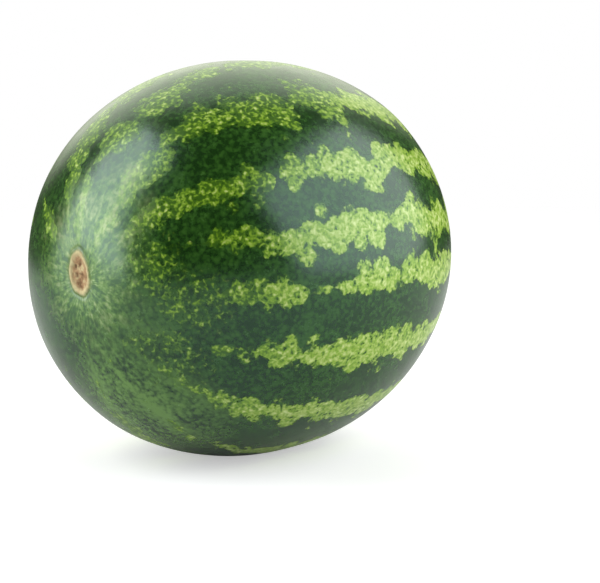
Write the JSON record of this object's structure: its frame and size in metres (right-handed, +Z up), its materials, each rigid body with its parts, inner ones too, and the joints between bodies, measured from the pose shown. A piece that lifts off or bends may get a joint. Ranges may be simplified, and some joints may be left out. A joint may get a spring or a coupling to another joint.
{
  "type": "watermelon",
  "caption": "Whole round striped watermelon lying on its side, slightly longer than wide, with a corky stem scar and a small flat resting spot.",
  "frame": {"origin": "the middle of the underside, on the surface that the fruit rests on", "axes": "+X along the long axis from the stem end to the blossom end, +Z up, -Y the side seen in the usual view"},
  "size_m": [0.2772, 0.2598, 0.2578],
  "materials": {
    "rind": "waxy striped rind: dark green with broken yellow-green stripes, half-dull with a soft sheen"
  },
  "bodies": {
    "root": {"watermelon": "rind"}
  },
  "joints": []
}
